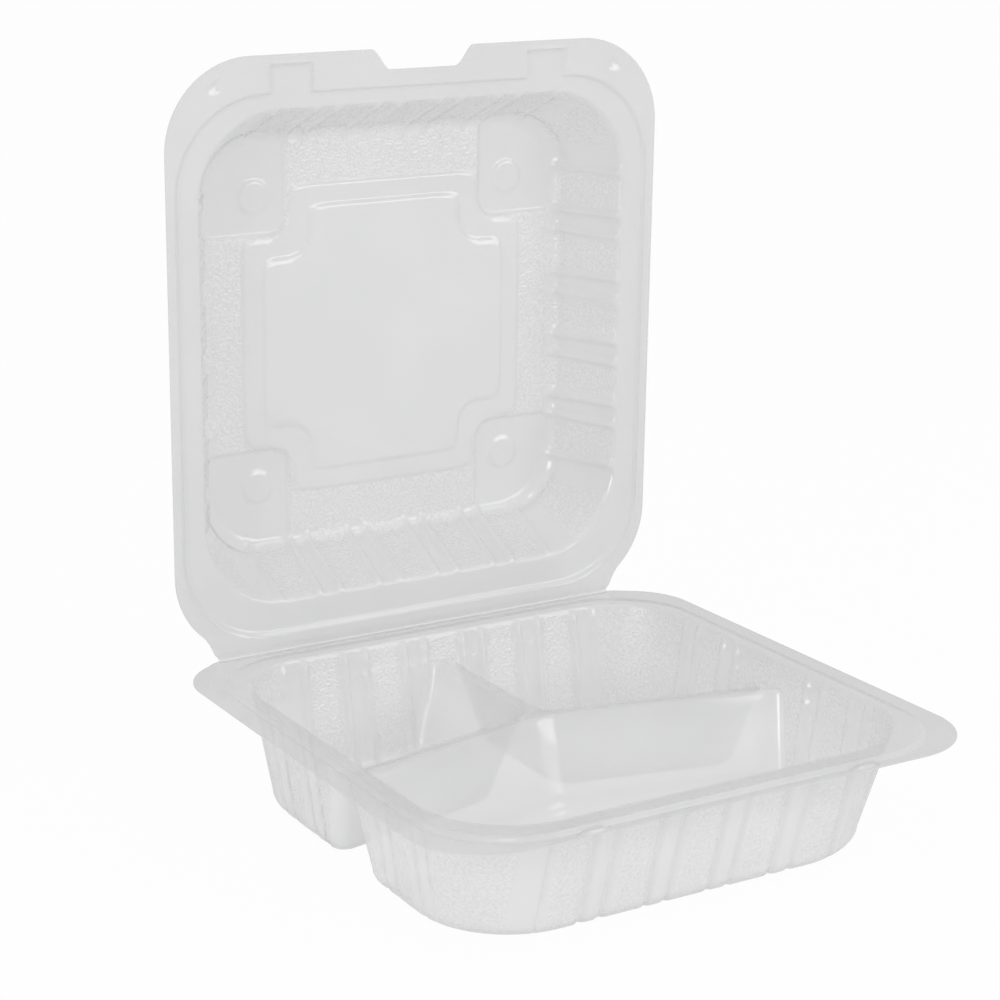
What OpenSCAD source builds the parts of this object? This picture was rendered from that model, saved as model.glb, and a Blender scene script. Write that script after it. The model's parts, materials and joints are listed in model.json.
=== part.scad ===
// Hinged takeout container with three compartments, formed from one clear plastic sheet.
// Origin: on the table, in the middle of the footprint of tray and open lid. X is the width,
// +Y the hinge side, +Z up.

/* [Sheet] */
// Thickness of the formed sheet
sheet = 0.5; // [0.4:0.05:1.2]
// Gap left between the tray and the closed lid
fit = 0.3; // [0.2:0.05:0.6]
// Gap at the sides where the lid rim nests over the tray rim
nest_side = 0.5; // [0.3:0.1:2.5]
// Gap at the front and hinge side where the lid rim nests over the tray rim
nest_end = 1.5; // [0.3:0.1:2.5]

/* [Tray] */
// Width over the tray flange
tray_w = 234; // [180:1:280]
// Tray depth from the hinge line to the front edge of the flange
tray_d = 234; // [190:1:290]
// Height of the hinge line above the table
tray_h = 50; // [35:1:70]
// Corner radius of the tray flange at the front
corner_front = 32; // [20:1:60]
// Corner radius of the tray flange at the hinge side
corner_back = 30; // [10:1:40]
// Corner radius of the raised land and of the walls below it
corner_land = 37; // [20:1:60]
// Corner radius of the tray floor
corner_floor = 36; // [20:1:60]
// Rounding between walls and floor
floor_round = 8; // [3:0.5:14]
// Slope of the front wall from upright
slope_front = 17; // [5:1:25]
// Slope of the side walls from upright
slope_side = 8; // [4:1:25]
// Slope of the hinge side wall from upright
slope_back = 8; // [5:1:25]

/* [Rim] */
// Height of the raised land above the flange
land_h = 1.6; // [1:0.1:5]
// Flat flange outside the land at the sides
lip_side = 9; // [3:0.5:12]
// Flat flange outside the land at the front of the tray
lip_front = 4.6; // [4:0.1:12]
// Hinge strip between the hinge line and the land
lip_back = 8.5; // [4:0.5:14]
// Width of the raised land at the front and the hinge side
land_w = 10; // [5:0.5:16]
// Width of the raised land at the sides
land_side = 7.3; // [5:0.1:16]
// Run of the sloping step at the outer edge of the land
land_step = 0.9; // [0.4:0.1:3]

/* [Dividers] */
// Drop of the divider tops below the hinge line
divider_drop = 10; // [4:1:25]
// Width of a divider at its top
divider_w = 7; // [4:0.5:14]
// Slope of the divider faces from upright
divider_slope = 17; // [5:1:25]
// Hinge line to the front divider where it meets the side walls
divider_side = 121; // [90:1:160]
// Hinge line to the bend of the front divider
divider_mid = 98; // [80:1:150]
// Rounding where dividers meet the walls
divider_round = 5; // [2:0.5:12]

/* [Flutes] */
// Distance from flute to flute
flute_pitch = 28; // [16:1:40]
// Width of a flute at the rim
flute_w = 12; // [6:0.5:16]
// Width of a flute at the floor or the dome top
flute_w0 = 8.5; // [4:0.5:14]
// Depth of a flute
flute_d = 2.4; // [0.5:0.1:4]

/* [Lid] */
// Opening angle of the lid as drawn
open_angle = 88; // [0:1:180]
// Width over the lid flange
lid_w = 226.5; // [180:0.5:280]
// Reach of the front lip of the lid beyond the tray flange
lid_over = 12.5; // [4:0.5:20]
// Height of the dome above the hinge line
lid_h = 34.5; // [15:0.5:42]
// Corner radius of the lid flange
lid_corner = 37; // [15:1:60]
// Slope of the dome walls from upright
slope_dome = 24; // [8:1:35]
// Rounding at the top edge of the dome
dome_round = 5; // [2:0.5:12]
// Distance of the dome from the middle of the tray, toward the front
dome_shift = 5.5; // [0:0.5:8]
// Amount the dome opening is longer than the tray opening, at the front and the hinge side
dome_over = 1.5; // [0:0.1:4]
// Amount the dome opening is narrower than the tray opening, at each side
dome_narrow = 2.2; // [0:0.1:5]
// Drop of each of the two steps of the panel in the dome top
panel_step = 0.9; // [0.4:0.1:2]
// Half size of the panel across its arms, at the outer step
panel_half = 66; // [40:1:75]
// Half width of the panel arms, at the outer step
panel_arm = 45; // [25:1:60]
// Distance between the two steps of the panel
panel_ring = 9; // [4:0.5:14]
// Height of the smooth corner pads above the dome top
pad_h = 1.2; // [0.4:0.1:3]
// Spacing of the round dimples across the lid
dimple_gap_x = 120; // [90:1:140]
// Spacing of the round dimples from hinge to front
dimple_gap_y = 124; // [90:1:150]
// Radius of the round dimple in each corner pad
dimple_r = 6.8; // [3:0.2:10]
// Depth of the round dimple in each corner pad
dimple_d = 0.8; // [0.3:0.1:2]
// Width of the finger notch at the edge of the lip
notch_w = 47; // [20:1:80]
// Depth of the finger notch
notch_d = 8.3; // [3:0.5:14]

/* [Latch] */
// Distance between the two latches
latch_gap = 117; // [60:1:170]
// Width of a latch pocket in the lid
latch_w = 19; // [10:1:30]
// Reach of a latch pocket beyond the land
latch_reach = 12.8; // [6:0.1:16]
// Width of a latch button on the tray
button_w = 11; // [5:0.5:16]
// Height of a latch button on the tray
button_h = 1.2; // [0.6:0.1:2.4]

/* [Hinge] */
// Length of the hinge strip
hinge_w = 192; // [120:1:200]
// Number of fine crease lines on each side of the hinge
crease_n = 3; // [1:1:4]
// Distance between crease lines
crease_pitch = 1.5; // [1:0.1:2]

/* [Hidden] */
eps = 0.02;
round_fn = 32;
// Lid depth and the middle of the dome, from the hinge line
lid_d = tray_d + lid_over;
dome_mid = tray_d / 2 + dome_shift;
// Reach of the open lid behind the hinge line
lid_reach = (lid_h + pad_h) * sin(open_angle) + lid_d * max(0, -cos(open_angle));
hinge_y = (tray_d - lid_reach) / 2;
front_y = hinge_y - tray_d;
half_w = tray_w / 2;
lid_half = lid_w / 2;
// Outer edge of the land, as x half width and distances from the hinge line
land_x = half_w - lip_side;
land_v0 = lip_back;
land_v1 = tray_d - lip_front;
// Inner edge of the land, where the tray walls start
wall_x = land_x - land_side;
wall_v0 = land_v0 + land_w;
wall_v1 = land_v1 - land_w;
wall_top = tray_h + land_h - fit / 2;
divider_z = tray_h - divider_drop;
roll_r = sheet / 2;
strip_gap = roll_r + fit + 0.05;
// Levels in the lid, measured from the hinge line with the lid closed
lid_under = fit / 2;
lid_land = land_h + fit / 2 + sheet;
lid_land_x = land_x + nest_side + sheet;

function unit(v) = v / norm(v);
function lerp(a, b, t) = a + (b - a) * t;
// Centre of a circle of radius r that touches both sides at corner i of a convex polygon
function corner(p, i, r) =
    let(n = len(p), u = unit(p[(i + n - 1) % n] - p[i]), w = unit(p[(i + 1) % n] - p[i]))
    p[i] + unit(u + w) * (r / sin(acos(u * w) / 2));

// Thin rounded outline at height z: polygon p moved in by s, corner radii rr, grown by o
module ring(p, rr, s, o, z) {
    for (i = [0 : len(p) - 1])
        translate(concat(corner(p, i, rr[i] + s), z))
            cylinder(r = rr[i] + o, h = eps, $fn = rr[i] > 10 ? round_fn : 16);
}

// Solid between polygon p1 at z1 and the lower polygon p0 at z0, with a rounded lower edge
module bowl(p1, r1, z1, p0, r0, z0, f, o) {
    t = f / (z1 - z0);
    pf = [for (i = [0 : len(p0) - 1]) lerp(p0[i], p1[i], t)];
    hull() {
        ring(p1, r1, 0, o, z1 - eps);
        ring(pf, r0, 0, o, z0 + f);
        for (a = [30 : 30 : 90])
            ring(pf, r0, f * (1 - cos(a)), o * cos(a), z0 + f - (f + o) * sin(a));
    }
}

// Flute section: opens outward along -Y, reaches d into the wall
module flute_cut(w, d) {
    polygon([[-w / 2 - 0.7, -3], [-w / 2, 0], [-w / 2 + 1.6, d], [w / 2 - 1.6, d], [w / 2, 0], [w / 2 + 0.7, -3]]);
}

// Flute along a sloping wall, then round its lower edge: y1 at z1 down to y0 at z0, narrower by o
module flute(y1, z1, y0, z0, f, o, d) {
    k = (y0 - y1) / (z1 - z0);
    steps = concat([[y1, z1]], [for (a = [0 : 45 : 90])
        [y1 + k * (z1 - z0 - f) + f * (1 - cos(a)), z0 + f - f * sin(a)]]);
    for (i = [0 : len(steps) - 2])
        hull()
            for (j = [i, i + 1])
                translate([0, steps[j][0], steps[j][1]])
                    linear_extrude(eps)
                        flute_cut((j == 0 ? flute_w : flute_w0) - o * 1.6, d);
}

module rounded(x, y0, y1, r0, r1) {
    hull() {
        for (sx = [-1, 1]) {
            translate([sx * (x - r0), y0 + r0]) circle(r = r0, $fn = r0 > 10 ? round_fn : 16);
            translate([sx * (x - r1), y1 - r1]) circle(r = r1, $fn = r1 > 10 ? round_fn : 16);
        }
    }
}

// Sloping sided block between two rounded outlines
module step_block(x, y0, y1, r, run, z0, z1) {
    hull() {
        translate([0, 0, z0]) linear_extrude(eps) rounded(x, y0, y1, r, r);
        translate([0, 0, z1 - eps]) linear_extrude(eps) rounded(x - run, y0 + run, y1 - run, r - run, r - run);
    }
}

// Tray wall positions at height z
function tray_x(z) = wall_x - (wall_top - z) * tan(slope_side);
function tray_f(z) = hinge_y - wall_v1 + (wall_top - z) * tan(slope_front);
function tray_b(z) = hinge_y - wall_v0 - (wall_top - z) * tan(slope_back);
// Divider: half width at height z, and its centre line at x
function divider_half(z) = divider_w / 2 + (divider_z - z) * tan(divider_slope);
divider_k = (divider_side - divider_mid) / wall_x;
function divider_y(x, o) = hinge_y - divider_mid - abs(x) * divider_k + o * sqrt(1 + divider_k * divider_k);

function tray_poly(z) = [
    [-tray_x(z), tray_f(z)], [tray_x(z), tray_f(z)], [tray_x(z), tray_b(z)], [-tray_x(z), tray_b(z)]];
function front_poly(z, d) = [
    [-tray_x(z), tray_f(z)], [tray_x(z), tray_f(z)], [tray_x(z), divider_y(tray_x(z), -d)],
    [0, divider_y(0, -d)], [-tray_x(z), divider_y(tray_x(z), -d)]];
function side_poly(z, d) = [
    [d, divider_y(d, d)], [tray_x(z), divider_y(tray_x(z), d)], [tray_x(z), tray_b(z)], [d, tray_b(z)]];

wall_r = corner_land;
front_r1 = [wall_r, wall_r, divider_round, 24, divider_round];
front_r0 = [corner_floor, corner_floor, divider_round, 20, divider_round];
side_r1 = [divider_round + 3, divider_round, wall_r - 4, divider_round];
side_r0 = [divider_round + 3, divider_round, corner_floor - 4, divider_round];

// Hollow of the tray grown by o: the open part over the dividers and the three pockets below
module tray_hollow(o) {
    edge = 1.6;
    hull() {
        ring(tray_poly(wall_top), [wall_r, wall_r, wall_r - 4, wall_r - 4], 0, o, wall_top + (o > 0 ? -eps : 0.5));
        ring(tray_poly(divider_z), [wall_r, wall_r, wall_r - 4, wall_r - 4], 0, o, divider_z - o);
    }
    bowl(front_poly(divider_z, divider_half(divider_z)), front_r1, divider_z,
        front_poly(0, divider_half(0)), front_r0, o > 0 ? o : sheet, floor_round, o);
    hull() {
        ring(front_poly(divider_z, divider_half(divider_z) - edge), front_r1, 0, o, divider_z - o);
        ring(front_poly(divider_z - edge, divider_half(divider_z - edge)), front_r1, 0, o, divider_z - edge - o);
    }
    for (m = [0, 1]) mirror([m, 0, 0]) {
        bowl(side_poly(divider_z, divider_half(divider_z)), side_r1, divider_z,
            side_poly(0, divider_half(0)), side_r0, o > 0 ? o : sheet, floor_round, o);
        hull() {
            ring(side_poly(divider_z, divider_half(divider_z) - edge), side_r1, 0, o, divider_z - o);
            ring(side_poly(divider_z - edge, divider_half(divider_z - edge)), side_r1, 0, o, divider_z - edge - o);
        }
    }
}

// Flutes of the tray walls, moved outward by o
module tray_flutes(o, top) {
    for (x = [-2.5 : 1 : 2.5]) {
        translate([x * flute_pitch, -o, 0])
            flute(tray_f(top), top, tray_f(0), sheet - o, floor_round, o, flute_d);
        translate([x * flute_pitch, o, 0]) mirror([0, 1, 0])
            flute(-tray_b(top), top, -tray_b(0), sheet - o, floor_round, o, flute_d);
    }
    for (m = [0, 1], y = [divider_side - 2.15 * flute_pitch, divider_side - 1.15 * flute_pitch,
                          divider_side + 0.95 * flute_pitch, divider_side + 1.95 * flute_pitch])
        mirror([m, 0, 0]) translate([o, hinge_y - y, 0]) rotate([0, 0, 90])
            flute(-tray_x(top), top, -tray_x(0), sheet - o, floor_round, o, flute_d);
}

// Latch button: a low rounded bump, hollow below
module button(o) {
    hull() {
        for (s = [-1, 1]) {
            translate([s * (button_w / 2 - 2), 0, -eps]) cylinder(r = 2 - o, h = eps, $fn = 16);
            translate([s * (button_w / 2 - 2), 0, button_h - o - eps]) cylinder(r = 1.4 - o, h = eps, $fn = 16);
        }
    }
}

// Fine crease lines of the hinge, along X at distance v from the hinge line
module creases(z) {
    for (i = [1 : crease_n])
        translate([-hinge_w / 2 - 1, -strip_gap - i * crease_pitch, z]) rotate([0, 90, 0])
            cylinder(r = 0.4, h = hinge_w + 2, $fn = 12);
}

module base_tray() {
    top = tray_h - fit / 2;
    color([0.86, 0.87, 0.88, 0.55])
    difference() {
        union() {
            difference() {
                union() {
                    // Flat flange with its rounded ears
                    translate([0, 0, top - sheet]) linear_extrude(sheet)
                        rounded(half_w, front_y, hinge_y - strip_gap, corner_front, corner_back);
                    // Raised land round the tray
                    step_block(land_x, hinge_y - land_v1, hinge_y - land_v0, corner_land, land_step,
                        top - sheet, wall_top);
                    for (s = [-1, 1])
                        translate([s * latch_gap / 2, front_y + lip_front / 2 + 0.3, top]) button(0);
                }
                // The land and buttons are hollow below
                step_block(land_x - sheet, hinge_y - land_v1 + sheet, hinge_y - land_v0 - sheet,
                    corner_land - sheet, land_step, top - sheet - 1, wall_top - sheet);
                for (s = [-1, 1])
                    translate([s * latch_gap / 2, front_y + lip_front / 2 + 0.3, top - sheet - eps]) button(sheet);
            }
            difference() {
                tray_hollow(sheet);
                tray_flutes(sheet, wall_top - sheet);
            }
        }
        difference() {
            tray_hollow(0);
            tray_flutes(0, wall_top + 0.6);
        }
        translate([0, hinge_y, top + 0.15]) creases(0);
    }
}

// Lid, drawn closed with the hinge line on the X axis
dome_half = (wall_v1 - wall_v0) / 2 + dome_over;
function dome_in(z) = (z - lid_land) * tan(slope_dome);
function dome_x(z) = wall_x - dome_narrow - dome_in(z);
function dome_y(z) = dome_half - dome_in(z);
function dome_poly(z) = [
    [-dome_x(z), -dome_mid - dome_y(z)], [dome_x(z), -dome_mid - dome_y(z)],
    [dome_x(z), -dome_mid + dome_y(z)], [-dome_x(z), -dome_mid + dome_y(z)]];
dome_r1 = [wall_r, wall_r, wall_r, wall_r];
dome_r0 = [26, 26, 26, 26];

// Dome grown by o, its top raised by up
module dome(o, up) {
    z1 = lid_land - (o > 0 ? 0 : 3);
    mirror([0, 0, 1])
        bowl(dome_poly(z1), dome_r1, sheet - z1, dome_poly(lid_h + up), dome_r0,
            sheet - lid_h - up, dome_round, o);
}

module dome_flutes(o, low) {
    p1 = dome_poly(low + sheet);
    mirror([0, 0, 1])
        for (x = [-2.5 : 1 : 2.5]) {
            // The end flutes run up to the raised pads
            top = lid_h + (abs(x) > 2 ? pad_h : 0);
            p0 = dome_poly(top);
            translate([x * flute_pitch, -o, 0])
                flute(p1[0][1], -low, p0[0][1], -top + sheet - o, dome_round, o, flute_d);
            translate([x * flute_pitch, o, 0]) mirror([0, 1, 0])
                flute(-p1[2][1], -low, -p0[2][1], -top + sheet - o, dome_round, o, flute_d);
            for (m = [0, 1]) mirror([m, 0, 0])
                translate([o, -dome_mid + x * flute_pitch, 0]) rotate([0, 0, 90])
                    flute(-p1[1][0], -low, -p0[1][0], -top + sheet - o, dome_round, o, flute_d);
        }
}

// Cross shaped panel outline, moved in by i and grown by o
module panel(i, o) {
    h = panel_half - i + o;
    a = panel_arm - i + o;
    n = 20;
    difference() {
        rounded(h, -h, h, 7 + o, 7 + o);
        for (sx = [-1, 1], sy = [-1, 1])
            translate([sx * (a + n), sy * (a + n)]) rounded(n, -n, n, 9 - o, 9 - o);
    }
}

module at_dimples() {
    for (sx = [-1, 1], sy = [-1, 1])
        translate([sx * dimple_gap_x / 2, -dome_mid + sy * dimple_gap_y / 2, 0]) children();
}

// Smooth pads that raise the four corners of the dome top, with their inner edges moved out by i
module pads(o, i) {
    a = panel_arm + 1 + i;
    n = 40;
    intersection() {
        dome(o, pad_h);
        translate([0, -dome_mid, lid_land]) linear_extrude(lid_h)
            for (sx = [-1, 1], sy = [-1, 1])
                translate([sx * (a + n), sy * (a + n)]) rounded(n, -n, n, 7 - i, 7 - i);
    }
}

// Rim land and latch pockets of the lid, grown inward by o
module lid_land_block(o, z0, z1) {
    step_block(lid_land_x - o, -land_v1 - nest_end - sheet + o, -land_v0 + nest_end + sheet - o,
        corner_land + nest_end - o, land_step, z0, z1);
    for (s = [-1, 1])
        translate([s * latch_gap / 2, 0, 0]) hull() {
            translate([0, 0, z0]) linear_extrude(eps)
                rounded(latch_w / 2 - o, -land_v1 - latch_reach - sheet + o, -land_v1 + 6, 2.5 - o, 2);
            translate([0, 0, z1 - eps]) linear_extrude(eps)
                rounded(latch_w / 2 - o - 0.8, -land_v1 - latch_reach - sheet + o + 0.8, -land_v1 + 6, 2.5 - o, 2);
        }
}

module lid_closed() {
    difference() {
        union() {
            difference() {
                union() {
                    // Flange, front lip and hinge strip
                    translate([0, 0, lid_under]) linear_extrude(sheet) {
                        rounded(lid_half, -lid_d, -1, lid_corner, lid_corner);
                        translate([-hinge_w / 2, -lip_back - 8]) square([hinge_w, lip_back + 8]);
                    }
                    translate([-hinge_w / 2, 0, 0]) rotate([0, 90, 0]) cylinder(r = roll_r, h = hinge_w, $fn = 24);
                    lid_land_block(0, lid_under, lid_land);
                    for (s = [-1, 1])
                        translate([s * (lid_half - 22), -lid_d + 11, lid_under + sheet - 1]) sphere(r = 2, $fn = 16);
                }
                lid_land_block(sheet, lid_under - 1, lid_land - sheet);
                for (s = [-1, 1])
                    translate([s * (lid_half - 22), -lid_d + 11, lid_under - 1]) sphere(r = 1.9, $fn = 16);
            }
            difference() {
                union() {
                    dome(sheet, 0);
                    pads(sheet, 0);
                }
                dome_flutes(sheet, lid_land - sheet);
                for (k = [1, 2])
                    translate([0, -dome_mid, lid_h - k * panel_step]) linear_extrude(5) panel((k - 1) * panel_ring, 0);
            }
        }
        difference() {
            union() {
                dome(0, 0);
                pads(0, sheet);
            }
            dome_flutes(0, lid_land - 3.2);
            for (k = [1, 2])
                translate([0, -dome_mid, lid_h - k * panel_step - sheet]) linear_extrude(5)
                    panel((k - 1) * panel_ring, sheet);
            at_dimples() translate([0, 0, lid_h + pad_h - dimple_d - sheet])
                cylinder(r = dimple_r + sheet, h = 3, $fn = 24);
        }
        at_dimples() translate([0, 0, lid_h + pad_h - dimple_d]) cylinder(r = dimple_r, h = 3, $fn = 24);
        // Finger notch in the front lip, with soft corners
        translate([0, -lid_d, -1]) linear_extrude(4) difference() {
            union() {
                hull()
                    for (s = [-1, 1])
                        translate([s * (notch_w / 2 - 11), notch_d - 4]) circle(r = 4, $fn = 24);
                translate([-notch_w / 2 + 2, -2]) square([notch_w - 4, 2 + notch_d / 2]);
                translate([-notch_w / 2 - 3, -2]) square([notch_w + 6, 3.5]);
            }
            for (s = [-1, 1])
                translate([s * (notch_w / 2 + 1), 4.5]) circle(r = 4.5, $fn = 24);
        }
        translate([0, 0, lid_under - 0.15]) creases(0);
    }
}

module lid() {
    color([0.86, 0.87, 0.88, 0.55])
    translate([0, hinge_y, tray_h]) rotate([-open_angle, 0, 0]) lid_closed();
}

base_tray();
lid();
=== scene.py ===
"""Hinged takeout container with three compartments, formed from one frosted clear plastic sheet."""
import json
import math

import bpy
import numpy as np
from mathutils import Matrix, Vector


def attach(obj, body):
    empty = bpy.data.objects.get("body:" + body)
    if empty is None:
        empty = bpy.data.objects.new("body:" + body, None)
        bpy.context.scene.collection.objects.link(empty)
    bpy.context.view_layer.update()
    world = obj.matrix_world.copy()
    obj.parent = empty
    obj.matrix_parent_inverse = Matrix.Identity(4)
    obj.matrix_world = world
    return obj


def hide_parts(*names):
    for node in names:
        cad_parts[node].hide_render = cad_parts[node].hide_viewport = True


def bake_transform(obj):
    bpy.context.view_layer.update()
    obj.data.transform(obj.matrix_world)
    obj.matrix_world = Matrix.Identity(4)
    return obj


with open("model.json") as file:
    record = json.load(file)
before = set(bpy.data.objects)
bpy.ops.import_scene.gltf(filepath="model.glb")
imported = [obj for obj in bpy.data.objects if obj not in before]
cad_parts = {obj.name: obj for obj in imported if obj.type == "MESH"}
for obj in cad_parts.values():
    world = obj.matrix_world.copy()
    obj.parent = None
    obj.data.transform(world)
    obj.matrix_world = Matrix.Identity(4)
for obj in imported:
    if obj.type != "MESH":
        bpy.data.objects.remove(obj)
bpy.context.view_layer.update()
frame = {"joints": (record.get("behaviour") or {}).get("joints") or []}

# The formed sheet
# Polypropylene about half a millimetre thick, pulled over one mould for both halves. It is milky
# and glossy where the mould was polished, and pebbled on the walls, where the mould was etched.

SHEET, MM = 0.5, 0.001
# The sheet pales from milky towards near white where it is drawn deep. This is partly the thinner
# sheet and partly painted light that lifts the shade in the pockets and on the hinge fold.
MILKY, PALE_AND_PAINTED_LIGHT = (0.75, 0.752, 0.756, 1), (0.995, 0.996, 0.997, 1)
GLOSS, ETCHED, SMEARED = 0.05, 0.10, 0.10
CLOUDY, CLEARED = 0.37, 0.04
PEBBLE_FINE, HAZE_WIDE = 950.0, 24.0
DRAWN_PALE_AND_PAINTED_LIGHT, HAZE_PALE, PEBBLE_PALE, PEBBLE_MEAN = 0.85, 0.10, 0.8, 0.45
CREASE_RELIEF, HAZE_RELIEF, RELIEF_SHARE, RELIEF_HIGH = 0.1, 0.8, 0.8, 0.0005
SHINE, PLASTIC_IOR = 1.0, 1.6


class Wire:
    """An output of a shader node, which can be added, subtracted and multiplied."""

    def __init__(self, socket):
        self.socket = socket

    def make(self, kind, inputs, output=0, **settings):
        tree = self.socket.id_data
        node = tree.nodes.new(kind)
        for key, value in settings.items():
            setattr(node, key, value)
        for key, value in inputs.items():
            if isinstance(value, Wire):
                tree.links.new(value.socket, node.inputs[key])
            else:
                node.inputs[key].default_value = value
        return Wire(node.outputs[output])

    def sum_of(self, operation, a, b):
        return self.make("ShaderNodeMath", {0: a, 1: b}, operation=operation)

    def __add__(self, other):
        return self.sum_of("ADD", self, other)

    def __sub__(self, other):
        return self.sum_of("SUBTRACT", self, other)

    def __rsub__(self, other):
        return self.sum_of("SUBTRACT", other, self)

    def __mul__(self, other):
        return self.sum_of("MULTIPLY", self, other)

    __radd__, __rmul__ = __add__, __mul__

    def between(self, low, high):
        return self.make("ShaderNodeMapRange", {0: self, 1: low, 2: high},
                         interpolation_type="SMOOTHSTEP")

    def mix(self, first, second):
        return self.make("ShaderNodeMix", {"Factor": self, 6: first, 7: second}, output=2,
                         data_type="RGBA")


def formed_sheet():
    finish = bpy.data.materials.new("formed_sheet")
    finish.use_nodes = True
    tree = finish.node_tree
    shader = tree.nodes["Principled BSDF"]
    place = Wire(tree.nodes.new("ShaderNodeTexCoord").outputs["Object"])
    pebbled, creased, drawn = (
        place.make("ShaderNodeAttribute", {}, output="Fac", attribute_name=name)
        for name in ("pebbled", "creased", "drawn"))
    grain, haze = (
        place.make("ShaderNodeTexNoise", {"Vector": place, "Scale": scale, "Detail": detail})
        for scale, detail in ((PEBBLE_FINE, 0.0), (HAZE_WIDE, 1.0)))
    # Painted light: paler where the sheet is drawn deep, partly thinner sheet and partly a lift of
    # the shade in the pockets and on the fold. It is also paler at random in hazy patches and on the
    # grain.
    paling_and_painted_light = (drawn * DRAWN_PALE_AND_PAINTED_LIGHT + haze.between(0.35, 0.7) * HAZE_PALE
            + pebbled * (grain - PEBBLE_MEAN) * PEBBLE_PALE)
    relief = pebbled * grain + creased * CREASE_RELIEF + haze * HAZE_RELIEF
    bump = {"Strength": RELIEF_SHARE, "Distance": RELIEF_HIGH, "Height": relief}
    for name, wire in (
            ("Base Color", paling_and_painted_light.mix(MILKY, PALE_AND_PAINTED_LIGHT)),
            ("Roughness", pebbled * ETCHED + haze * SMEARED + GLOSS),
            ("Normal", place.make("ShaderNodeBump", bump, output="Normal")),
            ("Alpha", CLOUDY - drawn * CLEARED)):
        tree.links.new(wire.socket, shader.inputs[name])
    shader.inputs["Specular IOR Level"].default_value = SHINE
    shader.inputs["IOR"].default_value = PLASTIC_IOR
    return finish


sheet_finish = formed_sheet()


# Tray
# The lower half of the sheet. A flat flange and a raised land run round three pockets with ribbed,
# sloping walls, and hollow dividers are formed up between the pockets. Sizes are in millimetres.

HINGE_Y, HINGE_Z = (1000 * c for c in frame["joints"][0]["pos_m"][1:])
FLANGE_TOP, LAND_TOP, DIVIDER_TOP = HINGE_Z - 0.15, HINGE_Z + 1.45, HINGE_Z - 10
FLOOR, FLOOR_ROUND, FLOOR_CROWN = SHEET, 8.0, 0.5
TRAY_HALF, TRAY_FRONT, TRAY_BACK = 117, HINGE_Y - 234, HINGE_Y - 0.6
FRONT_CORNER, BACK_CORNER = 32, 30
LAND_HALF, LAND_FRONT, LAND_BACK, LAND_CORNER = 108, HINGE_Y - 229.4, HINGE_Y - 8.5, 37
LAND_WIDE, EDGE_ROUND, EDGE_OUT = 10, 1.1, 0.9
WALL_HALF, WALL_FRONT, WALL_BACK = 100.7, HINGE_Y - 219.4, HINGE_Y - 18.5
WALL_CORNERS = (37, 33)
FRONT_FOOT_CORNER, BACK_FOOT_CORNER = 36, 32
FRONT_SLOPE, SIDE_SLOPE, BACK_SLOPE, DIVIDER_SLOPE = (
    math.tan(math.radians(a)) for a in (17, 8, 8, 17))
# Depth at which the sheet is drawn out fully and its colour paled most, partly thinner sheet and
# partly painted light. The pocket walls get a smaller share of it.
DRAWN_AND_PAINTED_LIGHT_DEPTH, WALL_DRAWN_AND_PAINTED_LIGHT = 25, 0.75

# The flutes of the walls are pairs of narrow ribs
RIBS_APART_RIM, RIBS_APART_END = 9.8, 8.8
RIB_DEEP, RIB_HALF, RIB_FLANK, RIB_MARGIN = 1.8, 2.3, 1.7, 0.5
RIB_NEAR, RIB_FAR, RIB_CLEAR = 3, 9, 0.8
FLUTE_PLACES = (-70, -42, -14, 14, 42, 70)
TRAY_SIDE_FLUTES = tuple(HINGE_Y - v for v in (60.8, 88.8, 147.6, 175.6))

# The cross divider is bent: its middle stands further back than its ends
DIVIDER_HALF, TOP_ROUND, NOOK, INNER_NOOK = 3.5, 2.2, 5.0, 8.0
BEND_Y, BEND_RUN = HINGE_Y - 98, 23 / WALL_HALF
BEND_ROUND, BEND_GROWS = 20, 4
LEAN, FACE_TURN = math.hypot(1, BEND_RUN), math.atan2(1, BEND_RUN)
FACE_TIP = math.pi / 2 - math.atan(DIVIDER_SLOPE)
FLAT_HALF = DIVIDER_HALF - TOP_ROUND * math.tan(FACE_TIP / 2)

# Low bumps on the front flange snap into the lid, and fine lines are pressed along the hinge
BUTTON_X, BUTTON_FLAT, BUTTON_IN, BUTTON_HIGH = 58.5, 3.5, 2.6, 1.2
CREASE_HALF, CREASE_FROM, CREASE_FULL, CREASE_PITCH = 95, -6.6, -6, 1.5
NECK, TRAY_NECK_TURN, HINGE_ZONE = 94.0, 8, 40

# The least length that counts, and the angle from which an edge is shaded sharp
HAIR, SHARP_EDGE = 1e-6, math.radians(50)


def ease(low, high, t):
    """Goes smoothly from 0 at low to 1 at high."""
    s = np.clip((t - low) / (high - low), 0, 1)
    return s * s * (3 - 2 * s)


def spaced(low, high, edges, wide, fine, reach):
    """Places from low to high, closer together at the edges that need it."""
    out = [low]
    while out[-1] < high - HAIR:
        gap = min([abs(out[-1] - e) for e in edges] + [9e9])
        out.append(out[-1] + fine + (wide - fine) * float(ease(reach, 2.5 * reach, gap)))
    return low + (np.array(out) - low) * (high - low) / (out[-1] - low)


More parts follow.
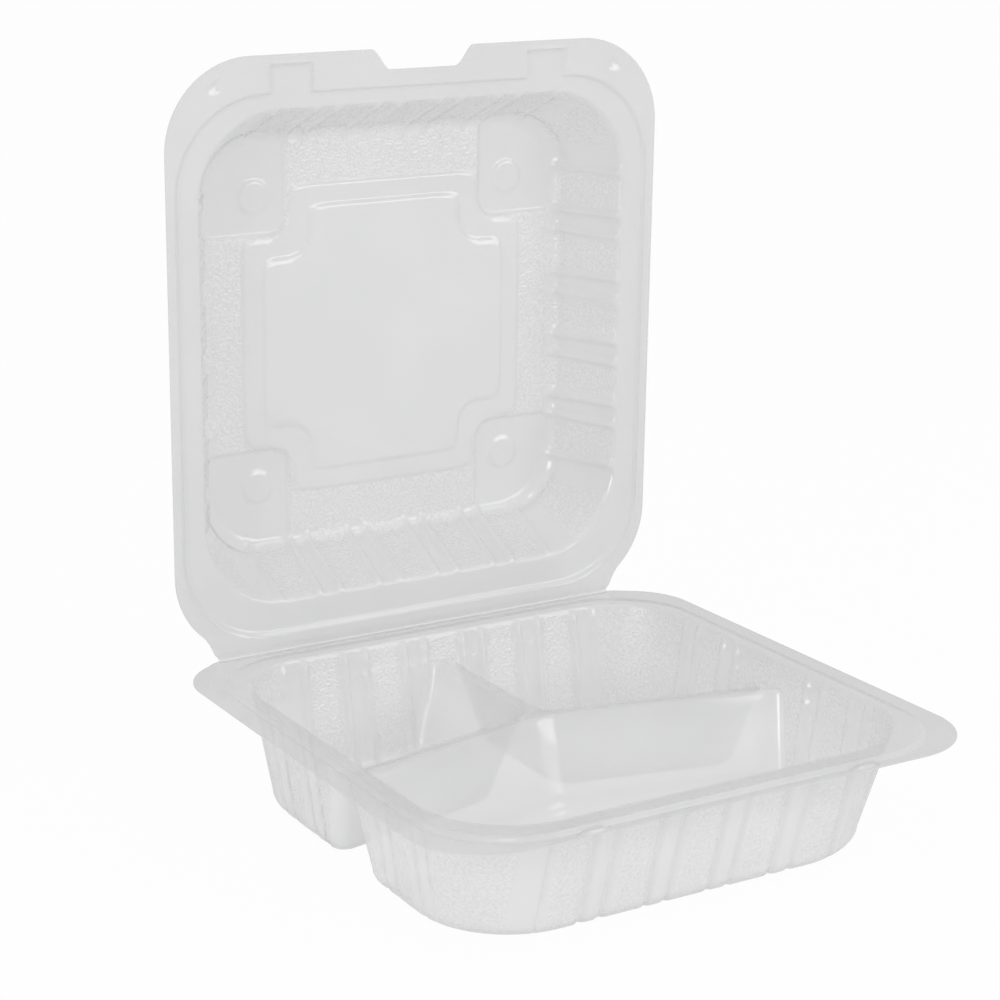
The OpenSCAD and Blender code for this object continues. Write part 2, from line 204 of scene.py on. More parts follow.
class Round:
    """Places round a rounded rectangle.

    They keep their x or y on the straight sides and share out the corners.
    """

    def __init__(self, across, along, straight_x, straight_y):
        self.xs, self.x_end = straight_x, across[-1]
        self.y0s, self.y1s = straight_y
        self.y0_end, self.y1_end = along[0], along[-1]
        runs = (across[:-1], along[:-1], across[:0:-1], along[:0:-1])
        self.side = np.concatenate([np.full(len(r), k) for k, r in enumerate(runs)])
        self.at = np.concatenate(runs)

    def outline(self, half, y0, y1, front_r, back_r, pick=slice(None), at=None):
        side, at = self.side[pick], self.at[pick] if at is None else at

        def run(share, straight, r):
            d = share * (straight + r * math.pi / 4)
            turn = np.maximum(d - straight, 0) / max(r, HAIR)
            return np.minimum(d, straight) + r * np.sin(turn), r * (1 - np.cos(turn))

        x, y = np.zeros(len(at)), np.zeros(len(at))
        for k, edge, r, into in ((0, y0, front_r, 1), (2, y1, back_r, -1)):
            m = side == k
            share = np.maximum(abs(at[m]) - self.xs, 0) / (self.x_end - self.xs)
            dx, dy = run(share, half - r - self.xs, r)
            x[m] = np.where(share > 0, np.sign(at[m]) * (self.xs + dx), at[m])
            y[m] = edge + into * dy
        for k, out in ((1, 1), (3, -1)):
            m = side == k
            front = np.maximum(self.y0s - at[m], 0) / (self.y0s - self.y0_end)
            back = np.maximum(at[m] - self.y1s, 0) / (self.y1_end - self.y1s)
            df, ef = run(front, self.y0s - y0 - front_r, front_r)
            db, eb = run(back, y1 - back_r - self.y1s, back_r)
            y[m] = np.where(front > 0, self.y0s - df, np.where(back > 0, self.y1s + db, at[m]))
            x[m] = out * (half - np.where(front > 0, ef, np.where(back > 0, eb, 0)))
        return np.stack([x, y], 1)


def ribs_apart(share):
    """How far the ribs of a pair stand apart, from the deep end at 0 to the rim at 1."""
    return RIBS_APART_END + (RIBS_APART_RIM - RIBS_APART_END) * share


def ribs_at(t, places, apart):
    """How high a pair of ribs stands at a place, and whether the place lies within a pair."""
    gap = np.min([abs(t - p) for p in places], axis=0)
    rib = np.clip((RIB_HALF - abs(gap - apart / 2)) / RIB_FLANK, 0, 1)
    return rib, np.clip(apart / 2 + RIB_HALF + RIB_MARGIN - gap, 0, 1)


def fluted(p, half, y0, y1, deep, apart, ends, sides):
    """Pushes the pairs of ribs into an outline, and gives 0 within a pair and 1 away from it."""
    x, y = p.T.copy()
    (end, end_pair), (flank, flank_pair) = ribs_at(x, ends, apart), ribs_at(y, sides, apart)
    near_end = 1 - ease(RIB_NEAR, RIB_FAR, np.minimum(abs(y - y0), abs(y - y1)))
    near_flank = 1 - ease(RIB_NEAR, RIB_FAR, half - abs(x))
    y = np.clip(y, y0 + deep * end, y1 - deep * end)
    x = np.clip(x, -half + deep * flank, half - deep * flank)
    return np.stack([x, y], 1), 1 - np.maximum(end_pair * near_end, flank_pair * near_flank)


def crease_lines(x, y):
    """How strongly the fine lines beside the hinge show; y is measured from the hinge."""
    strip = (abs(x) < CREASE_HALF) * ease(CREASE_FROM, CREASE_FULL, y)
    return strip * (0.5 + 0.5 * np.cos(y * 2 * math.pi / CREASE_PITCH))


class Skin:
    """One face of the sheet, built up from rows of points."""

    def __init__(self):
        self.points, self.quads, self.fans = [], [], []
        self.pebbled, self.creased, self.drawn = [], [], []

    def row(self, xy, z, pebbled=0.0, creased=0.0, drawn=0.0):
        """Adds a row of points and gives their numbers."""
        first, n = len(self.points), len(xy)
        self.points += np.column_stack([xy, np.broadcast_to(z, n)]).tolist()
        for kept, values in ((self.pebbled, pebbled), (self.creased, creased), (self.drawn, drawn)):
            kept += np.broadcast_to(values, n).tolist()
        return np.arange(first, first + n)

    def join(self, outer, inner):
        self.quads.append(np.stack([outer, np.roll(outer, -1), np.roll(inner, -1), inner], 1))

    def rows(self, levels):
        made = [self.row(*level) for level in levels]
        for outer, inner in zip(made, made[1:]):
            self.join(outer, inner)
        return made

    def weave(self, grid):
        corners = (grid[:-1, :-1], grid[:-1, 1:], grid[1:, 1:], grid[1:, :-1])
        self.quads.append(np.stack(corners, -1).reshape(-1, 4))

    def close(self, loop, centre):
        # The middle point gets the full paler colour of a pocket floor, partly painted light.
        middle = self.row(np.array([centre[:2]]), centre[2], 0.0, 0.0, 1.0)[0]
        self.fans += [(a, b, middle) for a, b in zip(loop, np.roll(loop, -1))]

    def sheet(self, name, second):
        """The closed sheet: this skin, a second one at a distance, and the cut edges."""
        p, quads = np.array(self.points), np.concatenate(self.quads)
        up = np.zeros_like(p)
        turn = np.cross(p[quads[:, 2]] - p[quads[:, 0]], p[quads[:, 3]] - p[quads[:, 1]])
        for k in range(4):
            np.add.at(up, quads[:, k], turn)
        for fan in self.fans:
            a, b, c = p[list(fan[:3])]
            up[list(fan)] += np.cross(b - a, c - a) if len(fan) == 3 else (0, 0, 1)
        up /= np.maximum(np.linalg.norm(up, axis=1), 1e-9)[:, None]
        n = len(p)
        faces = quads.tolist() + [list(map(int, f)) for f in self.fans]
        seen = dict.fromkeys((a, b) for f in faces for a, b in zip(f, f[1:] + f[:1]))
        cut = [(a, b) for a, b in seen if (b, a) not in seen]
        if second < 0:
            below = [[n + i for i in reversed(f)] for f in faces]
            edges = [[b, a, n + a, n + b] for a, b in cut]
        else:
            below = [[n + i for i in f] for f in faces]
            faces = [f[::-1] for f in faces]
            edges = [[a, b, n + b, n + a] for a, b in cut]
        mesh = bpy.data.meshes.new(name)
        both = np.concatenate([p, p + second * up]) * MM
        mesh.from_pydata(both.tolist(), [], faces + below + edges)
        mesh.polygons.foreach_set("use_smooth", [True] * len(mesh.polygons))
        mesh.set_sharp_from_angle(angle=SHARP_EDGE)
        for key in ("pebbled", "creased", "drawn"):
            values = np.tile(getattr(self, key), 2).astype(np.float32)
            mesh.attributes.new(key, "FLOAT", "POINT").data.foreach_set("value", values)
        mesh.update()
        piece = bpy.data.objects.new(name, mesh)
        bpy.context.scene.collection.objects.link(piece)
        piece.data.materials.append(sheet_finish)
        return piece


def tray_wall(z, inset=0.0):
    """Half width, front and back of the tray's wall at a height."""
    drop = LAND_TOP - z
    return (WALL_HALF - drop * SIDE_SLOPE - inset, WALL_FRONT + drop * FRONT_SLOPE + inset,
            WALL_BACK - drop * BACK_SLOPE - inset)


def thinned_and_painted_light(z):
    """How far the sheet is drawn out at a height in the tray, which also sets the painted light that
    lifts the shade deep in the pockets.
    """
    return float(np.clip((LAND_TOP - z) / DRAWN_AND_PAINTED_LIGHT_DEPTH, 0, 1))


def divider_half(z):
    return DIVIDER_HALF + (DIVIDER_TOP - z) * DIVIDER_SLOPE


def arc(centre, r, start, end, n):
    """Places on an arc, without its first one."""
    a = np.linspace(start, end, n + 1)[1:]
    return np.stack([centre[0] + r * np.cos(a), centre[1] + r * np.sin(a)], 1)


def spot(centre, r, a):
    return np.array([[centre[0] + r * math.cos(a), centre[1] + r * math.sin(a)]])


def along(a, b, n):
    """Places between two points, without either."""
    return np.array(a) + np.linspace(0, 1, n + 2)[1:-1, None] * (np.array(b) - np.array(a))


def nook_centre(half, off, back):
    """Middle of the round between the right wall and the divider; back is 1 behind it, -1 before."""
    x = half - NOOK
    return x, BEND_Y - BEND_RUN * x + back * (off + NOOK) * LEAN


# Where each pocket's wall ends on the rim at divider height
rim_half = tray_wall(DIVIDER_TOP)[0]
FRONT_END, BACK_END = (nook_centre(rim_half, FLAT_HALF, back)[1] for back in (-1, 1))
REAR_END = FLAT_HALF + NOOK

# Lines of the mesh: close together on the ribs and in the corners, wider apart between them
STRAIGHT, FRONT_STRAIGHT, BACK_STRAIGHT = 52.0, -62.0, 40.0
LINES = (2.8, 0.75, 0.7)
FLUTE_LINES = (-6.6, -4.5, -2.4, 2.4, 4.5, 6.6)
flute_edges = [p + e for p in FLUTE_PLACES for e in FLUTE_LINES]
side_edges = [p + e for p in TRAY_SIDE_FLUTES for e in FLUTE_LINES]
half_across = np.concatenate([
    [0], spaced(1.5, REAR_END, [], 2.4, 2.4, 1),
    spaced(REAR_END, STRAIGHT, flute_edges, *LINES)[1:], np.linspace(STRAIGHT, 90, 35)[1:]])
tray_across = np.concatenate([-half_across[:0:-1], half_across])
tray_along = np.concatenate([
    np.linspace(-112, FRONT_STRAIGHT, 43)[:-1],
    spaced(FRONT_STRAIGHT, FRONT_END, side_edges, *LINES)[:-1],
    np.linspace(FRONT_END, BACK_END, 10)[:-1],
    spaced(BACK_END, BACK_STRAIGHT, side_edges, *LINES)[:-1],
    np.linspace(BACK_STRAIGHT, 90, 31)])
rim = Round(tray_across, tray_along, STRAIGHT, (FRONT_STRAIGHT, BACK_STRAIGHT))
tray = Skin()

# The flange runs out straight to the ends of the hinge before its corners turn
flange_edge = rim.outline(TRAY_HALF, TRAY_FRONT, TRAY_BACK, FRONT_CORNER, BACK_CORNER)
turned = np.where(flange_edge[:, 1] > HINGE_Y - HINGE_ZONE,
                  ease(NECK, NECK + TRAY_NECK_TURN, abs(flange_edge[:, 0])), 1)
flange_edge[:, 1] = TRAY_BACK - (TRAY_BACK - flange_edge[:, 1]) * turned
land_edge = rim.outline(LAND_HALF, LAND_FRONT, LAND_BACK, LAND_CORNER, LAND_CORNER)
land_run = rim.outline(*tray_wall(LAND_TOP), *WALL_CORNERS) - land_edge
levels = []
for t in (0, 0.05, 0.14, 0.24, 0.34, 0.44, 0.54, 0.64, 0.74, 0.84, 0.92):
    xy = flange_edge + t * (land_edge - flange_edge)
    off_button = np.hypot(np.maximum(abs(abs(xy[:, 0]) - BUTTON_X) - BUTTON_FLAT, 0),
                          xy[:, 1] - (TRAY_FRONT + BUTTON_IN))
    height = FLANGE_TOP + BUTTON_HIGH * (1 - ease(0.7, 2.1, off_button))
    levels.append((xy, height, 0.0, crease_lines(xy[:, 0], xy[:, 1] - HINGE_Y)))
for d in (-0.4, -0.1, 0.2, 0.5, 0.8, 1.1, 1.4, 3, 5.5, 8):
    height = FLANGE_TOP + (LAND_TOP - FLANGE_TOP) * ease(-0.5, 1.4, d)
    levels.append((land_edge + d / LAND_WIDE * land_run, height))
for a in np.radians((0, 22, 44, 64)):
    out = EDGE_ROUND * (EDGE_OUT - math.sin(a))
    levels.append((rim.outline(*tray_wall(LAND_TOP, -out), *WALL_CORNERS),
                   LAND_TOP - EDGE_ROUND * (1 - math.cos(a))))
for z in (50.4, 49.2, 47.6, 45.6, 43.2, DIVIDER_TOP):
    wall, drop = tray_wall(z), LAND_TOP - z
    xy, plain = fluted(rim.outline(*wall, *WALL_CORNERS), *wall,
                       RIB_DEEP * float(ease(0.6, 3.8, drop)), ribs_apart(z / LAND_TOP),
                       FLUTE_PLACES, TRAY_SIDE_FLUTES)
    levels.append((xy, z, plain * float(ease(0.8, 3, drop)), 0.0, thinned_and_painted_light(z)))
wall_foot = tray.rows(levels)[-1]

# The rim places that belong to each pocket, in order round the pocket. The front left corner counts
# as the first place of the front side.
number = np.arange(len(rim.at))
front_up, right_up, back_up, left_up = (rim.side == k for k in range(4))
before_divider, behind_divider = rim.at <= FRONT_END + HAIR, rim.at >= BACK_END - HAIR
front_pick = np.concatenate([
    number[left_up & before_divider], number[front_up], number[right_up & before_divider]])
right_pick = np.concatenate([
    number[right_up & behind_divider], number[back_up & (rim.at >= REAR_END - HAIR)]])
left_pick = np.concatenate([
    number[back_up & (rim.at <= -REAR_END + HAIR)], number[left_up & behind_divider]])


def front_pocket(z, off, inset):
    """The front pocket at a height: its wall, its divider face, and where its walls stand."""
    half, y0, y1 = tray_wall(z, inset)
    off, rise = off + inset, z / DIVIDER_TOP
    centre = nook_centre(half, off, -1)
    at = rim.at[front_pick].copy()
    flank = (rim.side[front_pick] != 0) & (at > rim.y0s)
    at[flank] = rim.y0s + (at[flank] - rim.y0s) * (centre[1] - rim.y0s) / (FRONT_END - rim.y0s)
    wall = rim.outline(half, y0, y1, FRONT_FOOT_CORNER + rise, WALL_CORNERS[1], front_pick, at)
    bend_r = BEND_ROUND + BEND_GROWS * rise
    bend = (0, BEND_Y - (off + bend_r) * LEAN)
    corner = arc(centre, NOOK, 0, FACE_TURN, 7)
    bend_start = spot(bend, bend_r, FACE_TURN)
    face = along(corner[-1], bend_start[0], 16)
    right = np.concatenate([
        corner, face, bend_start, arc(bend, bend_r, FACE_TURN, math.pi / 2, 5)])
    left = right[-2::-1] * (-1, 1)
    return wall, np.concatenate([right, left]), (half, y0, y1)


def right_pocket(z, off, inset):
    """The back right pocket at a height, as the front one. The left one is its mirror image."""
    half, y0, y1 = tray_wall(z, inset)
    off, rise = off + inset, z / DIVIDER_TOP
    centre = nook_centre(half, off, 1)
    at, side = rim.at[right_pick].copy(), rim.side[right_pick]
    flank, end = (side == 1) & (at < rim.y1s), (side == 2) & (at < rim.xs)
    at[flank] = rim.y1s + (at[flank] - rim.y1s) * (centre[1] - rim.y1s) / (BACK_END - rim.y1s)
    at[end] = rim.xs + (at[end] - rim.xs) * (off + NOOK - rim.xs) / (REAR_END - rim.xs)
    wall = rim.outline(half, y0, y1, WALL_CORNERS[0], BACK_FOOT_CORNER + rise, right_pick, at)
    inner_x = off + INNER_NOOK
    inner = (inner_x, BEND_Y - BEND_RUN * inner_x + inner_x * LEAN)
    back_corner = arc((off + NOOK, y1 - NOOK), NOOK, math.pi / 2, math.pi, 7)
    rear_end = np.array([[off, inner[1]]])
    rear = along(back_corner[-1], rear_end[0], 14)
    joint = arc(inner, INNER_NOOK, math.pi, math.pi + FACE_TURN, 7)
    nook_start = spot(centre, NOOK, math.pi + FACE_TURN)
    face = along(joint[-1], nook_start[0], 14)
    nook = arc(centre, NOOK, math.pi + FACE_TURN, 2 * math.pi, 8)[:-1]
    inside = np.concatenate([back_corner, rear, rear_end, joint, face, nook_start, nook])
    return wall, inside, (half, y0, y1)


# Heights down a pocket, with the divider's half width and the inset of the floor's round
foot = FLOOR + FLOOR_ROUND
pocket_levels = [
    (DIVIDER_TOP - TOP_ROUND * (1 - math.cos(a)), FLAT_HALF + TOP_ROUND * math.sin(a), 0.0)
    for a in np.linspace(0, FACE_TIP, 6)]
pocket_levels += [
    (z, divider_half(z), 0.0) for z in (36, 33, 29.5, 25.5, 21.5, 17.5, 13.5, 10.5)]
pocket_levels += [
    (foot - FLOOR_ROUND * math.sin(a), divider_half(foot), FLOOR_ROUND * (1 - math.cos(a)))
    for a in np.radians(np.linspace(0, 90, 9))]


def form_pocket(shape, wall_row, mirrored):
    """Forms one pocket and gives the row of its divider edge."""
    n, hand = len(wall_row), -1 if mirrored else 1

    def placed(values):
        return np.roll(values[::-1], n, 0) if mirrored else values

    for k, (z, off, inset) in enumerate(pocket_levels):
        # Within the floor's round the outline is that of the wall's foot, set in
        wall, face, sides = shape(max(z, foot), off, inset)
        loop, plain = fluted(np.concatenate([wall, face]), *sides, RIB_DEEP,
                             ribs_apart(z / LAND_TOP), FLUTE_PLACES, TRAY_SIDE_FLUTES)
        loop, on_wall = placed(loop * (hand, 1)), np.arange(len(loop)) < n
        if k == 0:
            edge = tray.row(loop[n:], z, 0.0, 0.0, thinned_and_painted_light(z))
            row = np.concatenate([wall_row, edge])
        else:
            rough = plain * on_wall * float(ease(1.5, 6, z))
            # The walls get less of the painted light that pales the dividers and floors.
            drawn_and_light_share = np.where(on_wall, WALL_DRAWN_AND_PAINTED_LIGHT, 1.0)
            row = tray.row(loop, z, placed(rough), 0.0, thinned_and_painted_light(z) * placed(drawn_and_light_share))
            tray.join(before, row)
        before = row
    # Inside the feet of the ribs the floor is plain. It is fully paled, partly thinner sheet and
    # partly painted light that lifts the shade of the pocket floor.
    wall, face, _ = shape(foot, off, inset + RIB_DEEP + RIB_CLEAR)
    loop = placed(np.concatenate([wall, face]) * (hand, 1))
    middle = loop.mean(0)
    for share in (1, 0.88, 0.7, 0.5, 0.28):
        height = FLOOR + FLOOR_CROWN * float(ease(0, 1, 1 - share))
        row = tray.row(middle + share * (loop - middle), height, 0.0, 0.0, 1.0)
        tray.join(before, row)
        before = row
    tray.close(before, (*middle, FLOOR + FLOOR_CROWN))
    return edge


front_edge = form_pocket(front_pocket, wall_foot[front_pick], False)
right_edge = form_pocket(right_pocket, wall_foot[right_pick], False)
left_edge = form_pocket(right_pocket, wall_foot[left_pick], True)

# The flat tops of the dividers, one T shaped face between the pockets and the walls
at_divider = (rim.at > FRONT_END - HAIR) & (rim.at < BACK_END + HAIR)
tray.fans.append(tuple(np.concatenate([
    wall_foot[right_up & at_divider], right_edge[::-1],
    wall_foot[back_up & (abs(rim.at) < REAR_END + HAIR)], left_edge[::-1],
    wall_foot[left_up & at_divider], front_edge[::-1]])))

tray_piece = tray.sheet("tray_shell", -SHEET)
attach(tray_piece, "tray")
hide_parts("base_tray")


# Lid
# The upper half of the sheet, drawn closed about the hinge and then turned open. Its dome has ribbed
# walls, four smooth corner pads and a stepped cross panel. The front lip has the notch and latches.

OPEN = math.radians(88)
LID_UNDER, LID_LAND, DOME_TOP = 0.15, 1.75, 34.0
LID_HALF, LID_FRONT, LID_BACK, LID_CORNER = 113.25, -246.5, -1, 37
BEAD_HALF, BEAD_FRONT, BEAD_BACK, BEAD_CORNER, BEAD_WIDE = 109, -231.4, -6.5, 38.5, 10
NOTCH_DEEP, NOTCH_FLAT, NOTCH_END, FRONT_ZONE = 8.3, 15, 23.5, -200
LID_NECK_TURN = 6
LATCH_X, LATCH_HALF, LATCH_END = 58.5, 9.5, -242.7
LIP_DIMPLE_X, LIP_DIMPLE_Y, LIP_DIMPLE_HIGH = 91.25, -235.5, 0.9
DOME_Y, DOME_HALF_X, DOME_HALF_Y = -122.5, 98.5, 101.95
# Inside the dome the colour pales towards the top, by a fifth of the tray's most. This is partly
# thinner sheet and partly painted light.
DOME_SLOPE, DOME_ROUND, DOME_DRAWN_AND_PAINTED_LIGHT = math.tan(math.radians(24)), 5.0, 0.2
DOME_CORNER, TOP_CORNER, SHOULDER = 37, 26, DOME_TOP - DOME_ROUND
PAD_HIGH, PAD_EDGE, PAD_CORNER, PAD_SOFT = 1.2, 46.0, 7.0, 0.7
DIMPLE_X, DIMPLE_Y, DIMPLE_DEEP = 60, 62, 0.8
PANEL_DROP, PANEL_HALF, PANEL_ARM, PANEL_RING = 0.9, 66, 45, 9
PANEL_NOOK, PANEL_BLEND, PANEL_SOFT = 9.0, 2.5, 0.6
TOP_HALF_X, TOP_HALF_Y = STRAIGHT + 20, STRAIGHT + 24
DOME_SIDE_FLUTES = tuple(DOME_Y + p for p in FLUTE_PLACES)

# Lines of the mesh, close together on the ribs, the notch and the steps of the panel
lid_edges = flute_edges + [16, 18.5, 22.5, 36, 46, 49]
half_lines = spaced(0, STRAIGHT, lid_edges, 2.8, 0.8, 0.7)
corner_share = spaced(0, 1, (0.22, 0.31, 0.6, 0.74), 0.05, 0.03, 0.03)[1:]
lid_half_x, lid_half_y = (np.concatenate([half_lines, STRAIGHT + (end - STRAIGHT) * corner_share])
                          for end in (TOP_HALF_X, TOP_HALF_Y))
lid_across = np.concatenate([-lid_half_x[:0:-1], lid_half_x])
lid_along = DOME_Y + np.concatenate([-lid_half_y[:0:-1], lid_half_y])
brim = Round(lid_across, lid_along, STRAIGHT, (DOME_Y - STRAIGHT, DOME_Y + STRAIGHT))


def dome_wall(z, inset=0.0):
    """Half width, front and back of the dome's wall at a height."""
    draw = (z - LID_LAND) * DOME_SLOPE + inset
    return DOME_HALF_X - draw, DOME_Y - DOME_HALF_Y + draw, DOME_Y + DOME_HALF_Y - draw


def nook_depth(x, y, edge, r):
    """Distance inside the corner squares beyond edge, with rounded inner corners."""
    dx, dy = abs(x) - edge, abs(y - DOME_Y) - edge
    return r - np.hypot(np.maximum(r - dx, 0), np.maximum(r - dy, 0))


def pad_share(x, y):
    return ease(-PAD_SOFT, PAD_SOFT, nook_depth(x, y, PAD_EDGE, PAD_CORNER))


def panel_share(x, y, half, arm):
    """1 on a cross of that half width with its corners cut at arm, and 0 outside it."""
    outside = (abs(x) - half, abs(y - DOME_Y) - half, nook_depth(x, y, arm, PANEL_NOOK))
    inside = -np.log(sum(np.exp(d / PANEL_BLEND) for d in outside)) * PANEL_BLEND
    return ease(-PANEL_SOFT, PANEL_SOFT, inside)


def dome_top(x, y):
    dimple = np.hypot(abs(x) - DIMPLE_X, abs(y - DOME_Y) - DIMPLE_Y)
    steps = (panel_share(x, y, PANEL_HALF, PANEL_ARM)
             + panel_share(x, y, PANEL_HALF - PANEL_RING, PANEL_ARM - PANEL_RING))
    return (DOME_TOP + PAD_HIGH * pad_share(x, y) - PANEL_DROP * steps
            - DIMPLE_DEEP * (1 - ease(6.0, 7.6, dimple)))


def band_share(x, y):
    """1 on the pebbled band between the pads and the panel."""
    return (1 - pad_share(x, y)) * (1 - panel_share(x, y, PANEL_HALF + 0.5, PANEL_ARM - 0.5))


def lip_height(xy, step):
    """Height of the flange and lip, with the latch pockets and the two small dimples."""
    x, y = xy.T
    across = 1 - ease(LATCH_HALF - 0.9, LATCH_HALF + 0.1, abs(abs(x) - LATCH_X))
    latch = across * ease(LATCH_END - 0.2, LATCH_END + 1.2, y) * (y < FRONT_ZONE)
    dimple = 1 - ease(0.4, 2.6, np.hypot(abs(x) - LIP_DIMPLE_X, y - LIP_DIMPLE_Y))
    rise = (LID_LAND - LID_UNDER) * np.maximum(latch, step)
    return LID_UNDER + rise + LIP_DIMPLE_HIGH * dimple


lip_edge = brim.outline(LID_HALF, LID_FRONT, LID_BACK, LID_CORNER, LID_CORNER)
notch = NOTCH_DEEP * (1 - ease(NOTCH_FLAT, NOTCH_END, abs(lip_edge[:, 0])))
lip_edge[:, 1] += notch * (lip_edge[:, 1] < FRONT_ZONE)
lip_edge[:, 1] *= np.where(lip_edge[:, 1] > -HINGE_ZONE,
                           ease(NECK, NECK + LID_NECK_TURN, abs(lip_edge[:, 0])), 1)
bead = brim.outline(BEAD_HALF, BEAD_FRONT, BEAD_BACK, BEAD_CORNER, BEAD_CORNER)
bead_run = brim.outline(*dome_wall(LID_LAND), DOME_CORNER, DOME_CORNER) - bead
levels = []
for t in (0, 0.04, 0.1, 0.17, 0.24, 0.31, 0.38, 0.45, 0.52, 0.59, 0.66, 0.73, 0.8, 0.87, 0.94):
    xy = lip_edge + t * (bead - lip_edge)
    levels.append((xy, lip_height(xy, 0), 0.0, crease_lines(*xy.T)))
for d in (-0.3, 0, 0.3, 0.6, 0.9, 1.2, 1.5):
    xy = bead + d / BEAD_WIDE * bead_run
    levels.append((xy, lip_height(xy, float(ease(-0.4, 1.5, d)))))
for d in (3, 5.5, 7.8, 9.2):
    levels.append((bead + d / BEAD_WIDE * bead_run, LID_LAND))
for z in (1.95, 2.5, 3.4, 5, 8, 11.5, 15, 18.5, 22, 25.5, SHOULDER):
    wall = dome_wall(z, -0.5 * float(ease(0, 1.2, 3.0 - z)))
    narrowed = (DOME_CORNER - TOP_CORNER) * (z - LID_LAND) / (DOME_TOP - LID_LAND)
    radius = DOME_CORNER - narrowed
    xy, plain = fluted(brim.outline(*wall, radius, radius), *wall,
                       RIB_DEEP * float(ease(1.7, 2.6, z)), ribs_apart(1 - z / DOME_TOP),
                       FLUTE_PLACES, DOME_SIDE_FLUTES)
    levels.append((xy, z, plain * float(ease(2, 4, z)), 0.0, DOME_DRAWN_AND_PAINTED_LIGHT * z / DOME_TOP))
for a in np.radians((14, 28, 42, 56, 70, 82, 90)):
    inset = DOME_ROUND * (1 - math.cos(a))
    wall = dome_wall(SHOULDER, inset)
    xy, plain = fluted(brim.outline(*wall, TOP_CORNER, TOP_CORNER), *wall, RIB_DEEP,
                       RIBS_APART_END, FLUTE_PLACES, DOME_SIDE_FLUTES)
    rise = pad_share(*xy.T) * PAD_HIGH * float(ease(0, DOME_ROUND, inset))
    smooth = 1 - pad_share(*xy.T) * float(ease(0.5, 3, inset))
    levels.append((xy, SHOULDER + DOME_ROUND * math.sin(a) + rise, plain * smooth, 0.0, DOME_DRAWN_AND_PAINTED_LIGHT))
top_edge = np.array(dome_wall(SHOULDER, DOME_ROUND))
top_grid = np.array((TOP_HALF_X, DOME_Y - TOP_HALF_Y, DOME_Y + TOP_HALF_Y))
for t in (0.2, 0.4, 0.6, 0.8):
    radius = TOP_CORNER - TOP_CORNER * t
    xy = brim.outline(*(top_edge + t * (top_grid - top_edge)), radius, radius)
    levels.append((xy, dome_top(*xy.T), band_share(*xy.T), 0.0, DOME_DRAWN_AND_PAINTED_LIGHT))
lid = Skin()
inner_row = lid.rows(levels)[-1]
grid_x, grid_y = np.meshgrid(lid_across, lid_along)
flat = np.stack([grid_x.ravel(), grid_y.ravel()], 1)
grid = lid.row(flat, dome_top(*flat.T), band_share(*flat.T), 0.0, DOME_DRAWN_AND_PAINTED_LIGHT)
grid = grid.reshape(grid_x.shape)
lid.weave(grid)
lid.join(inner_row, np.concatenate([grid[0, :-1], grid[:-1, -1], grid[-1, :0:-1], grid[:0:-1, 0]]))

lid_piece = lid.sheet("lid_shell", SHEET)
at_hinge = Matrix.Translation((0, HINGE_Y * MM, HINGE_Z * MM))
lid_piece.data.transform(at_hinge @ Matrix.Rotation(-OPEN, 4, "X"))
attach(lid_piece, "lid")
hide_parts("lid")


# Hinge fold
# The thinned line of the same sheet between the two flanges. It was pressed thin after forming, so
# that it folds as the lid turns.

FOLD_HALF, FOLD_THICK, FOLD_LINES = NECK + 1, 0.3, 25
FOLD_PATH = [(-2.4, -0.4), (-0.9, -0.4), (-0.45, -0.36), (-0.05, -0.22),
             (0.2, 0.05), (0.36, 0.45), (0.4, 0.9), (0.4, 2.4)]
fold = Skin()
for y, z in FOLD_PATH:
    line = np.array([[x, HINGE_Y + y] for x in np.linspace(-FOLD_HALF, FOLD_HALF, FOLD_LINES)])
    # The fold gets the full paler colour. This is partly the thin sheet and partly painted light
    # that lifts the shade between the two flanges.
    fold.row(line, HINGE_Z + z, 0.0, 0.0, 1.0)
fold.weave(np.arange(len(fold.points)).reshape(len(FOLD_PATH), FOLD_LINES))
fold_piece = fold.sheet("hinge_fold", -FOLD_THICK)
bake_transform(fold_piece)


# Floor and light
# A matt white floor under four soft boxes, as a product is shot for a catalogue. What lies behind
# the sheet shows pale grey through it, as it does in a cut-out picture.

PALE_GREY, WHITE = (0.71, 0.71, 0.71, 1), (1, 1, 1, 1)
PAPER, PAPER_ROUGH, PAPER_SHINE, SKY = (0.92, 0.92, 0.92, 1), 0.9, 0.1, (0.70, 0.70, 0.70, 1)
FLOOR_SHOWN, FLOOR_MIRRORED = 0.95, 0.85
FLOOR_GAP = 0.0004
floor_mesh = bpy.data.meshes.new("floor")
floor_mesh.from_pydata([(-9, -9, 0), (9, -9, 0), (9, 14, 0), (-9, 14, 0)], [], [(0, 1, 2, 3)])
floor = bpy.data.objects.new("floor", floor_mesh)
floor.location.z = -FLOOR_GAP
bpy.context.scene.collection.objects.link(floor)
paper = bpy.data.materials.new("floor_paper")
paper.use_nodes = True
matt = paper.node_tree.nodes["Principled BSDF"]
matt.inputs["Base Color"].default_value = PAPER
matt.inputs["Roughness"].default_value = PAPER_ROUGH
matt.inputs["Specular IOR Level"].default_value = PAPER_SHINE


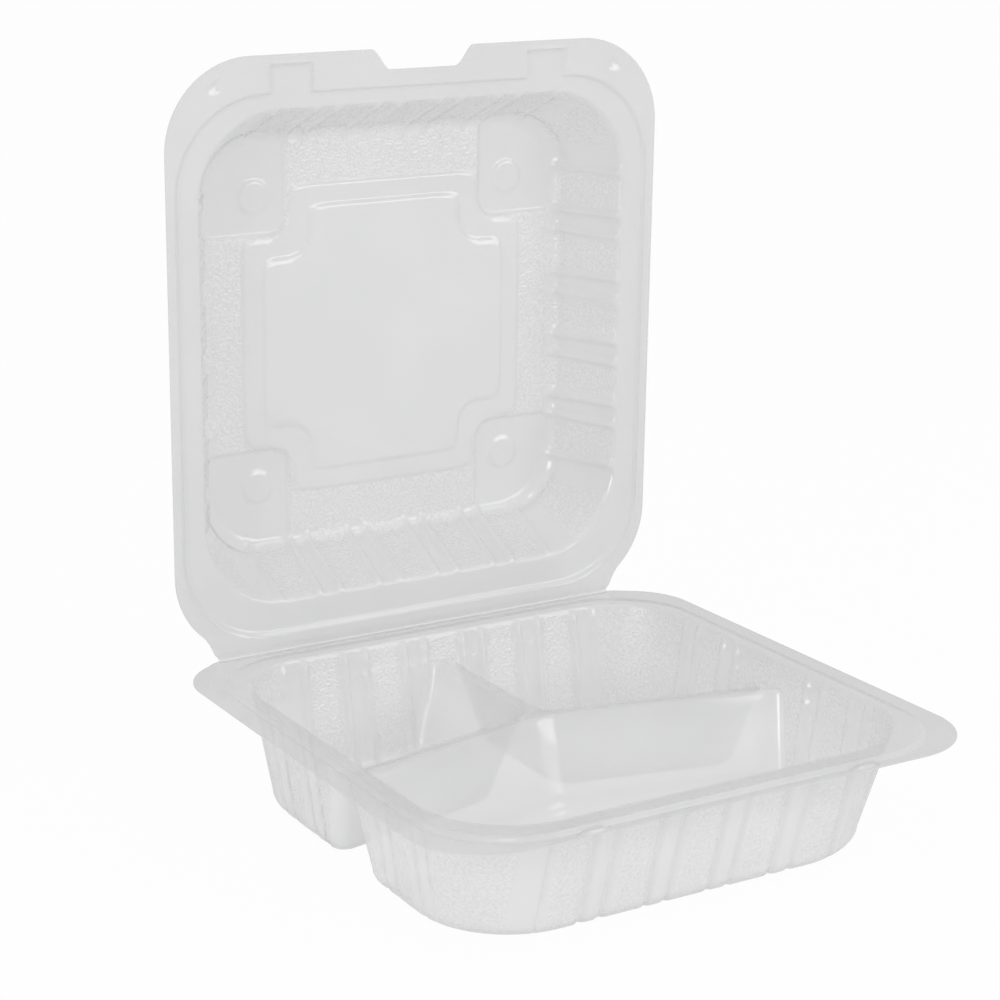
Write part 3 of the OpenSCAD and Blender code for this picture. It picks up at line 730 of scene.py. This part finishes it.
def backdrop(tree, glow, lit, output, shown_share, mirrored_share):
    """Mixes what is lit with the backdrop: white beside the sheet, pale grey through it."""
    path = tree.nodes.new("ShaderNodeLightPath")
    straight, mirrored, through, layers = (Wire(path.outputs[name]) for name in (
        "Is Camera Ray", "Is Glossy Ray", "Is Transmission Ray", "Transparent Depth"))
    beside = straight * layers.sum_of("LESS_THAN", layers, 0.5)
    grey, white = (straight.make(glow, {"Color": c, "Strength": 1.0}) for c in (PALE_GREY, WHITE))
    behind = straight.make("ShaderNodeMixShader", {0: beside, 1: grey, 2: white})
    share = straight * shown_share + (mirrored + through) * mirrored_share
    seen = straight.make("ShaderNodeMixShader", {0: share, 1: Wire(lit.outputs[0]), 2: behind})
    tree.links.new(seen.socket, tree.nodes[output].inputs["Surface"])


backdrop(paper.node_tree, "ShaderNodeEmission", matt, "Material Output", FLOOR_SHOWN, FLOOR_MIRRORED)
floor_mesh.materials.append(paper)

world = bpy.data.worlds.new("studio")
bpy.context.scene.world = world
world.use_nodes = True
sky = world.node_tree.nodes["Background"]
sky.inputs["Color"].default_value = SKY
backdrop(world.node_tree, "ShaderNodeBackground", sky, "World Output", 1.0, 0.0)

LIT_PLACE = Vector((0, 0, 0.1))


def soft_box(name, place, size, power):
    light = bpy.data.lights.new(name, "AREA")
    light.shape, light.energy = "RECTANGLE", power
    light.size, light.size_y = size
    lamp = bpy.data.objects.new(name, light)
    lamp.location = place
    lamp.rotation_euler = (LIT_PLACE - Vector(place)).to_track_quat("-Z", "Y").to_euler()
    bpy.context.scene.collection.objects.link(lamp)


soft_box("left_box", (-1.1, -0.55, 0.25), (0.5, 0.45), 3.0)
soft_box("right_box", (0.78, -1.35, 0.5), (1.0, 0.6), 5.0)
soft_box("top_box", (0.65, -0.5, 1.15), (0.5, 0.3), 0.9)
soft_box("front_box", (-0.35, -0.65, 1.25), (0.3, 0.3), 1.0)


# Camera
# A long lens a metre away, a little above the rim and to the left of the front. It is turned to
# the view in which the open container was photographed.

AIM = Vector((-8.83, HINGE_Y - 83.13, HINGE_Z + 75.91)) * MM
TURN, TIP, ROLL = (math.radians(a) for a in (-30.32, 15.19, -0.22))
DISTANCE, FOCUS_PIXELS, PICTURE_PIXELS, SENSOR = 0.98097, 2492.25, 1000, 36
back = Vector((math.sin(TURN) * math.cos(TIP), -math.cos(TURN) * math.cos(TIP), math.sin(TIP)))
level = Vector((0, 0, 1)).cross(back).normalized()
upright = back.cross(level)
right = level * math.cos(ROLL) + upright * math.sin(ROLL)
top = upright * math.cos(ROLL) - level * math.sin(ROLL)
camera = bpy.data.objects.new("camera", bpy.data.cameras.new("camera"))
camera.data.sensor_width = SENSOR
camera.data.lens = FOCUS_PIXELS * SENSOR / PICTURE_PIXELS
facing = Matrix((right, top, back)).transposed().to_4x4()
camera.matrix_world = Matrix.Translation(AIM + back * DISTANCE) @ facing
bpy.context.scene.collection.objects.link(camera)
bpy.context.scene.camera = camera
bpy.context.scene.view_settings.view_transform = "Standard"
